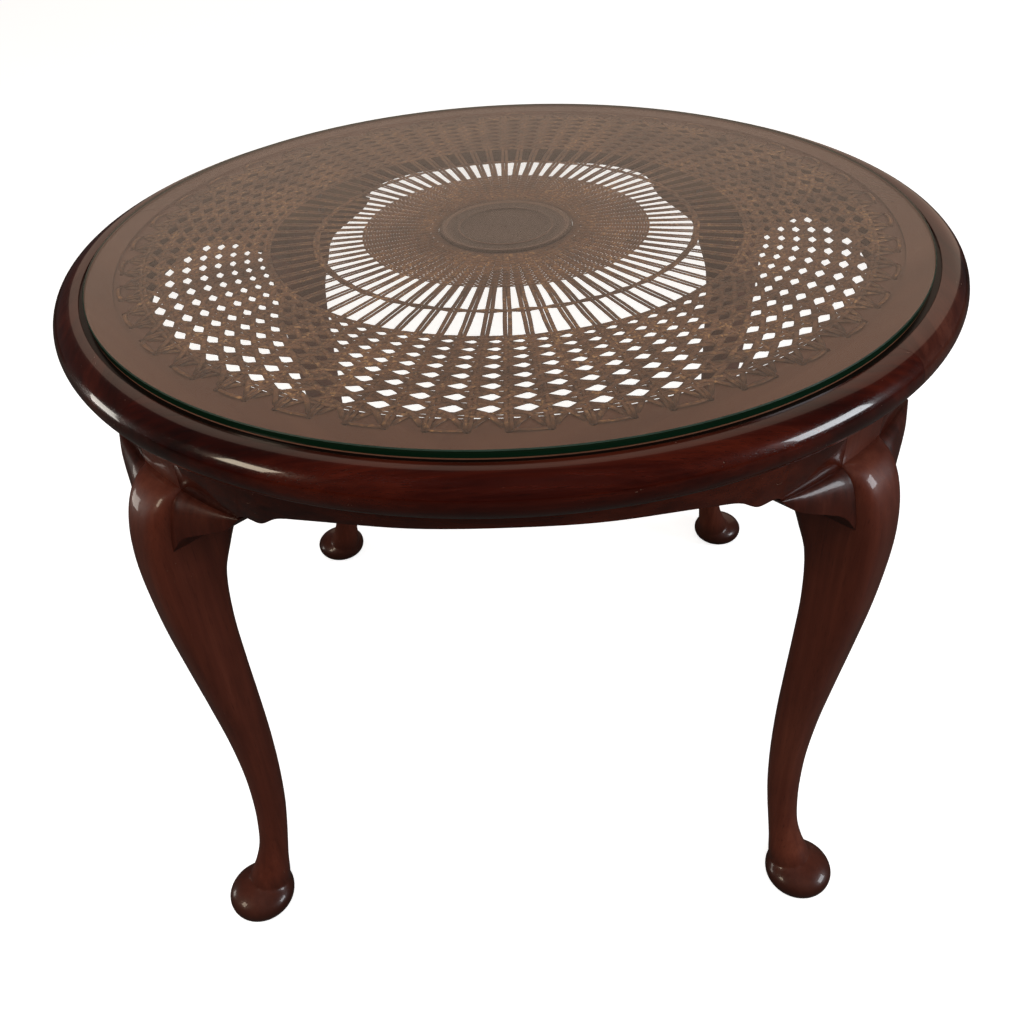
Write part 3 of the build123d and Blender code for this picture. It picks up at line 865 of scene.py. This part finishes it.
def padRadiusAt(height):
    widest = legSize["padHeight"] * 0.46
    if height <= widest:
        share = 1 - height / widest
        low = legSize["soleRadius"]
        return low + (legSize["padRadius"] - low) * math.sqrt(max(0.0, 1 - share**2.2))
    share = (height - widest) / (legSize["padHeight"] - widest)
    return legSize["padRadius"] * math.sqrt(max(0.0, 1 - share**2)) if share < 1 else 0.0


def legRing(height):
    front, back, half, square = sectionAt(height)
    count = legSize["around"]
    middle, depth = (front + back) / 2, (front - back) / 2
    ring = []
    for i in range(count):
        a = 2 * math.pi * i / count
        c, s = math.cos(a), math.sin(a)
        u = middle + depth * math.copysign(abs(c) ** (2 / square), c)
        v = half * math.copysign(abs(s) ** (2 / square), s)
        limit = legSize["postHalf"] if height > 345 else 99
        ring.append((u, max(-limit, min(limit, v))))
    return ring


def rayToCircle(centre, radius, origin, c, s):
    dx = origin - centre
    b = dx * c
    inside = b * b - dx * dx + radius * radius
    return -b + math.sqrt(inside) if inside > 0 else 0.0


def footRing(height):
    # the pad and the ankle joined with a smooth throat
    front, back, half, square = sectionAt(height)
    middle, depth = (front + back) / 2, (front - back) / 2
    pad = padRadiusAt(height)
    share = max(0.0, min(1.0, (height - 8) / 20))
    origin = legSize["padCentre"] * (1 - share) + middle * share
    count = legSize["around"]
    ring = []
    for i in range(count):
        a = 2 * math.pi * i / count
        c, s = math.cos(a), math.sin(a)
        toPad = rayToCircle(legSize["padCentre"], pad, origin, c, s) if pad else 0.0
        p, q = c / depth, s / half
        e = (origin - middle) / depth
        squared, linear, constant = p * p + q * q, e * p, e * e - 1
        inside = linear * linear - squared * constant
        toAnkle = (-linear + math.sqrt(inside)) / squared if inside > 0 and height > 9 else 0.0
        k = legSize["blend"]
        far, near = max(toPad, toAnkle), min(toPad, toAnkle)
        h = max(0.0, k - (far - near)) / k
        distance = far + h * h * k / 4
        ring.append((origin + distance * c, distance * s))
    return ring


def postRing(front):
    count = legSize["around"]
    ring = []
    for i in range(count):
        a = 2 * math.pi * i / count
        x = max(-1, min(1, math.sqrt(2) * math.cos(a)))
        y = max(-1, min(1, math.sqrt(2) * math.sin(a)))
        v = y * legSize["postHalf"]
        reach = math.sqrt(front * front - v * v)
        middle = (reach + legSize["postBack"]) / 2
        ring.append((middle + x * (reach - legSize["postBack"]) / 2, v))
    return ring


legLook = look(Dark=(0.048, 0.009, 0.005), Middle=(0.135, 0.030, 0.016), Light=(0.24, 0.066, 0.036),
               figure=0.6, dull=0.14, polish=0.5, foot=0.036)


def makeLeg(name, azimuth, drift):
    heights = [0.0] + [0.35, 1, 2, 3] + [4 + 1.0 * i for i in range(40)] + [44 + 3.0 * i for i in range(118)]
    heights += [399, 400.5, 401.5, 402.3, 402.9, 403.3]
    rings = []
    for height in heights:
        ring = footRing(height) if height < 40 else legRing(height)
        fade = max(0.0, 1 - height / 400)
        rings.append([(u + drift[0] * fade, v + drift[1] * fade, height) for u, v in ring])
    knee = legRing(403.5)
    post = postRing(legSize["postFront"])
    for share, height in ((0.25, 403.9), (0.6, 404.15), (1.0, 404.3)):
        ring = [(u * (1 - share) + p * share, v * (1 - share) + q * share) for (u, v), (p, q) in zip(knee, post)]
        rings.append([(u, v, height) for u, v in ring])
    for height in (404.8, 412, 420, 430, legSize["top"]):
        rings.append([(u, v, height) for u, v in post])
    points, faces = turnedPoints(rings, azimuth), tubeFaces(len(rings), legSize["around"])
    material = makeMahogany("legMahogany_" + name, legLook, (0, math.radians(90), 0), (0.2 * azimuth / 45, 0, 0))
    piece = addPiece("leg_" + name.replace("_", "") + "_shape", points, faces, material, 38)
    joinTable(piece, "mahogany_leg", "leg_" + name)


for legName, (legAzimuth, legDrift) in legPlaces.items():
    makeLeg(legName, legAzimuth, legDrift)
print("legs carved")


earSize = {"top": 402.5, "back": 258.0, "rail": 281.5, "steps": 26, "rounding": 12, "start": 20.0, "end": 68.0,
           "lower": ((20, 366), (27, 376.5), (38, 383), (54, 390.5), (62, 395.5), (68, 402.2)),
           "face": ((20, 293), (27, 290.6), (38, 287.0), (54, 281), (62, 276.9), (68, 273.4))}


def kneeCorner(height):
    front, back, half, square = sectionAt(height)
    return (front + back) / 2 + (front - back) / 2 * (1 - (legSize["postHalf"] / half) ** square) ** (1 / square)


def makeEar(name, azimuth, side, material):
    size = earSize
    points = []
    for step in range(size["steps"] + 1):
        v = size["start"] + (size["end"] - size["start"]) * (step / size["steps"]) ** 1.3
        low = throughPoints(size["lower"], v)
        face = throughPoints(size["face"], v)
        shoulder = math.sqrt(size["rail"] ** 2 - v * v)
        nearKnee = max(0.0, 1 - (v - size["start"]) / 16) ** 2
        back = math.sqrt(size["back"] ** 2 - v * v)
        section = []
        for turn in range(size["rounding"] + 1):
            a = math.pi / 2 * turn / size["rounding"]
            z = low + (size["top"] - low) * math.cos(a)
            u = shoulder + (face - shoulder) * math.sin(a)
            section.append((u * (1 - nearKnee) + kneeCorner(z) * nearKnee, z))
        section += [(back, low), (back, size["top"])]
        points.append([(u, v * side, z) for u, z in section])
    corners, faces = turnedPoints(points, azimuth), tubeFaces(len(points), len(points[0]))
    return addPiece(name, corners, faces, material, 38)


apronLook = look(Middle=(0.070, 0.0100, 0.0040), lip=0.4342)
earLook = look(Dark=(0.020, 0.004, 0.002), Middle=(0.075, 0.015, 0.008), Light=(0.13, 0.034, 0.018),
               dull=0.12, polish=0.3)


def makeApron():
    for name, azimuth in (("right", 0), ("back", 90), ("left", 180), ("front", 270)):
        turn = (0, 0, -math.radians(azimuth + 90))
        material = makeMahogany("apronMahogany_" + name, apronLook, turn, (0.4 * azimuth / 90, 0, 0))
        piece = softenedCopy("apron_rail_" + name, "apronRail_" + name, material, 0.5)
        joinTable(piece, "mahogany_apron", "apron_rail_" + name)
    for legName, (azimuth, drift) in legPlaces.items():
        for hand in ("a", "b"):
            shift = (azimuth / 40, 0, 0.1 if hand == "a" else 0)
            material = makeMahogany(f"earMahogany_{legName}_{hand}", earLook, (0, math.radians(90), 0), shift)
            node = f"ear_block_{legName}_{hand}"
            low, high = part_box(node)
            a = math.radians(azimuth)
            across = (high[1] + low[1]) / 2 * math.cos(a) - (high[0] + low[0]) / 2 * math.sin(a)
            piece = makeEar(f"earBlock_{legName}_{hand}", azimuth, math.copysign(1, across), material)
            joinTable(piece, "mahogany_ear", node)


makeApron()
print("apron and ears made")


def makePlainWood(name, dark, light, turn=(0, 0, 0)):
    return makeMahogany(name, look(Dark=dark, Middle=tuple((a + b) / 2 for a, b in zip(dark, light)), Light=light,
                                   polish=0.0, nicks=0.2, figure=0.8), turn)


def makeSteel():
    material, tree, shader = newMaterial("oldScrewSteel")
    place = addNode(tree, "ShaderNodeTexCoord").outputs["Object"]
    rust = spread(tree, noiseNode(tree, place, 700, 4, 0.6), 0.45, 0.65)
    tree.links.new(mixColour(tree, rust, (0.22, 0.21, 0.20), (0.09, 0.045, 0.025)), shader.inputs["Base Color"])
    tree.links.new(mathNode(tree, "MULTIPLY_ADD", rust, 0.35, 0.35), shader.inputs["Roughness"])
    tree.links.new(mathNode(tree, "SUBTRACT", 1.0, rust, clamp=True), shader.inputs["Metallic"])
    addBump(tree, shader, rust, 0.3, 0.0001)
    return material


ledgeJoints = (-3.82, 83.87, 176.18, 263.87, 356.18)
# gap puts painted shade on the ledge beyond 277.6 mm from the middle, in the gap beside the glass's edge
ledgeLook = look(Dark=(0.055, 0.019, 0.010), Middle=(0.115, 0.043, 0.023), Light=(0.17, 0.072, 0.040),
                 polish=0.0, nicks=0.0, figure=0.5, bump=0.03, pores=0.0, gap=0.2776)


def finishNodes():
    secondary = makePlainWood("secondaryWood", (0.10, 0.055, 0.025), (0.26, 0.16, 0.08))
    steel = makeSteel()
    for name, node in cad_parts.items():
        if node.hide_render:
            continue
        if name.startswith("cane_frame"):
            count = int(name[-1]) - 1
            middle = (ledgeJoints[count] + ledgeJoints[count + 1]) / 2
            turn = (0, 0, -math.radians(middle + 90))
            material = makeMahogany("ledgeMahogany" + name[-1], ledgeLook, turn, (count, 0, 0))
        elif "screw" in name:
            material = steel
        else:
            material = secondary
        node.data.materials.clear()
        node.data.materials.append(material)


finishNodes()
print("kept nodes finished")


studio = {"floorHalf": 6.0, "floorDrop": 0.0003, "ambient": (0.035, 0.034, 0.034)}


def straightSight(tree):
    # 1 for what the camera sees directly or straight through the glass, 0 for reflections and bounced light
    path = addNode(tree, "ShaderNodeLightPath").outputs
    straight = mathNode(tree, "LESS_THAN", path["Glossy Depth"], 0.5)
    through = mathNode(tree, "MULTIPLY", path["Is Transmission Ray"], straight)
    return mathNode(tree, "MAXIMUM", path["Is Camera Ray"], through)


def makeStage():
    half = studio["floorHalf"]
    mesh = bpy.data.meshes.new("paleFloor")
    corners = [(x * half, y * half, -studio["floorDrop"]) for x, y in ((-1, -1), (1, -1), (1, 1), (-1, 1))]
    mesh.from_pydata(corners, [], [(0, 1, 2, 3)])
    floor = bpy.data.objects.new("paleFloor", mesh)
    scene.collection.objects.link(floor)
    material = bpy.data.materials.new("paleFloor")
    material.use_nodes = True
    tree = material.node_tree
    tree.nodes.clear()
    seen = straightSight(tree)
    pale = addNode(tree, "ShaderNodeBsdfDiffuse")
    pale.inputs["Color"].default_value = (0.9, 0.9, 0.9, 1)
    lit = addNode(tree, "ShaderNodeEmission")
    lit.inputs["Strength"].default_value = 0.8
    both = addNode(tree, "ShaderNodeAddShader")
    tree.links.new(pale.outputs[0], both.inputs[0])
    tree.links.new(lit.outputs[0], both.inputs[1])
    dim = addNode(tree, "ShaderNodeBsdfDiffuse")
    dim.inputs["Color"].default_value = (0.075, 0.069, 0.065, 1)
    mix = addNode(tree, "ShaderNodeMixShader")
    tree.links.new(seen, mix.inputs[0])
    tree.links.new(dim.outputs[0], mix.inputs[1])
    tree.links.new(both.outputs[0], mix.inputs[2])
    clear = addNode(tree, "ShaderNodeBsdfTransparent")
    side = addNode(tree, "ShaderNodeMixShader")
    tree.links.new(addNode(tree, "ShaderNodeNewGeometry").outputs["Backfacing"], side.inputs[0])
    tree.links.new(mix.outputs[0], side.inputs[1])
    tree.links.new(clear.outputs[0], side.inputs[2])
    output = addNode(tree, "ShaderNodeOutputMaterial")
    tree.links.new(side.outputs[0], output.inputs[0])
    mesh.materials.append(material)
    world = bpy.data.worlds.new("studio")
    scene.world = world
    world.use_nodes = True
    tree = world.node_tree
    tree.nodes.clear()
    seen = straightSight(tree)
    white = addNode(tree, "ShaderNodeBackground")
    white.inputs[0].default_value = (1, 1, 1, 1)
    dim = addNode(tree, "ShaderNodeBackground")
    dim.inputs[0].default_value = (*studio["ambient"], 1)
    mix = addNode(tree, "ShaderNodeMixShader")
    tree.links.new(seen, mix.inputs[0])
    tree.links.new(dim.outputs[0], mix.inputs[1])
    tree.links.new(white.outputs[0], mix.inputs[2])
    tree.links.new(mix.outputs[0], addNode(tree, "ShaderNodeOutputWorld").inputs[0])


def addLight(name, azimuth, elevation, distance, width, height, brightness, colour, glossy=True, wall=False):
    # a soft light that faces the table top's centre; brightness is what its face shows
    target = Vector((0, 0, 0.4))
    a, e = math.radians(azimuth), math.radians(elevation)
    away = Vector((math.cos(a) * math.cos(e), math.sin(a) * math.cos(e), math.sin(e)))
    data = bpy.data.lights.new(name, "AREA")
    data.shape = "RECTANGLE"
    data.size = width
    data.size_y = height
    data.energy = brightness * math.pi * width * height
    data.color = colour
    lamp = bpy.data.objects.new(name, data)
    scene.collection.objects.link(lamp)
    lamp.location = target + away * distance
    lamp.rotation_euler = away.to_track_quat("Z", "Y").to_euler()
    lamp.visible_camera = False
    lamp.visible_transmission = wall
    lamp.visible_glossy = glossy


makeStage()
addLight("rightWindow", -18, 15, 2.6, 0.95, 0.75, 9.0, (0.90, 0.95, 1.0))
addLight("leftWindow", 172, -1, 2.6, 0.45, 0.60, 4.5, (1.0, 0.95, 0.86))
addLight("leftLamp", -151, 26, 2.6, 0.55, 0.60, 8.0, (1.0, 0.86, 0.66))
addLight("farWall", 83, 24, 4.0, 5.8, 4.0, 0.36, (1.0, 0.735, 0.565), True, True)
addLight("overhead", -100, 68, 3.0, 2.4, 1.6, 3.2, (1.0, 0.98, 0.96), False)
addLight("frontFill", -80, 34, 3.5, 3.0, 1.6, 1.5, (1.0, 0.98, 0.96), False)
print("stage and lights set")
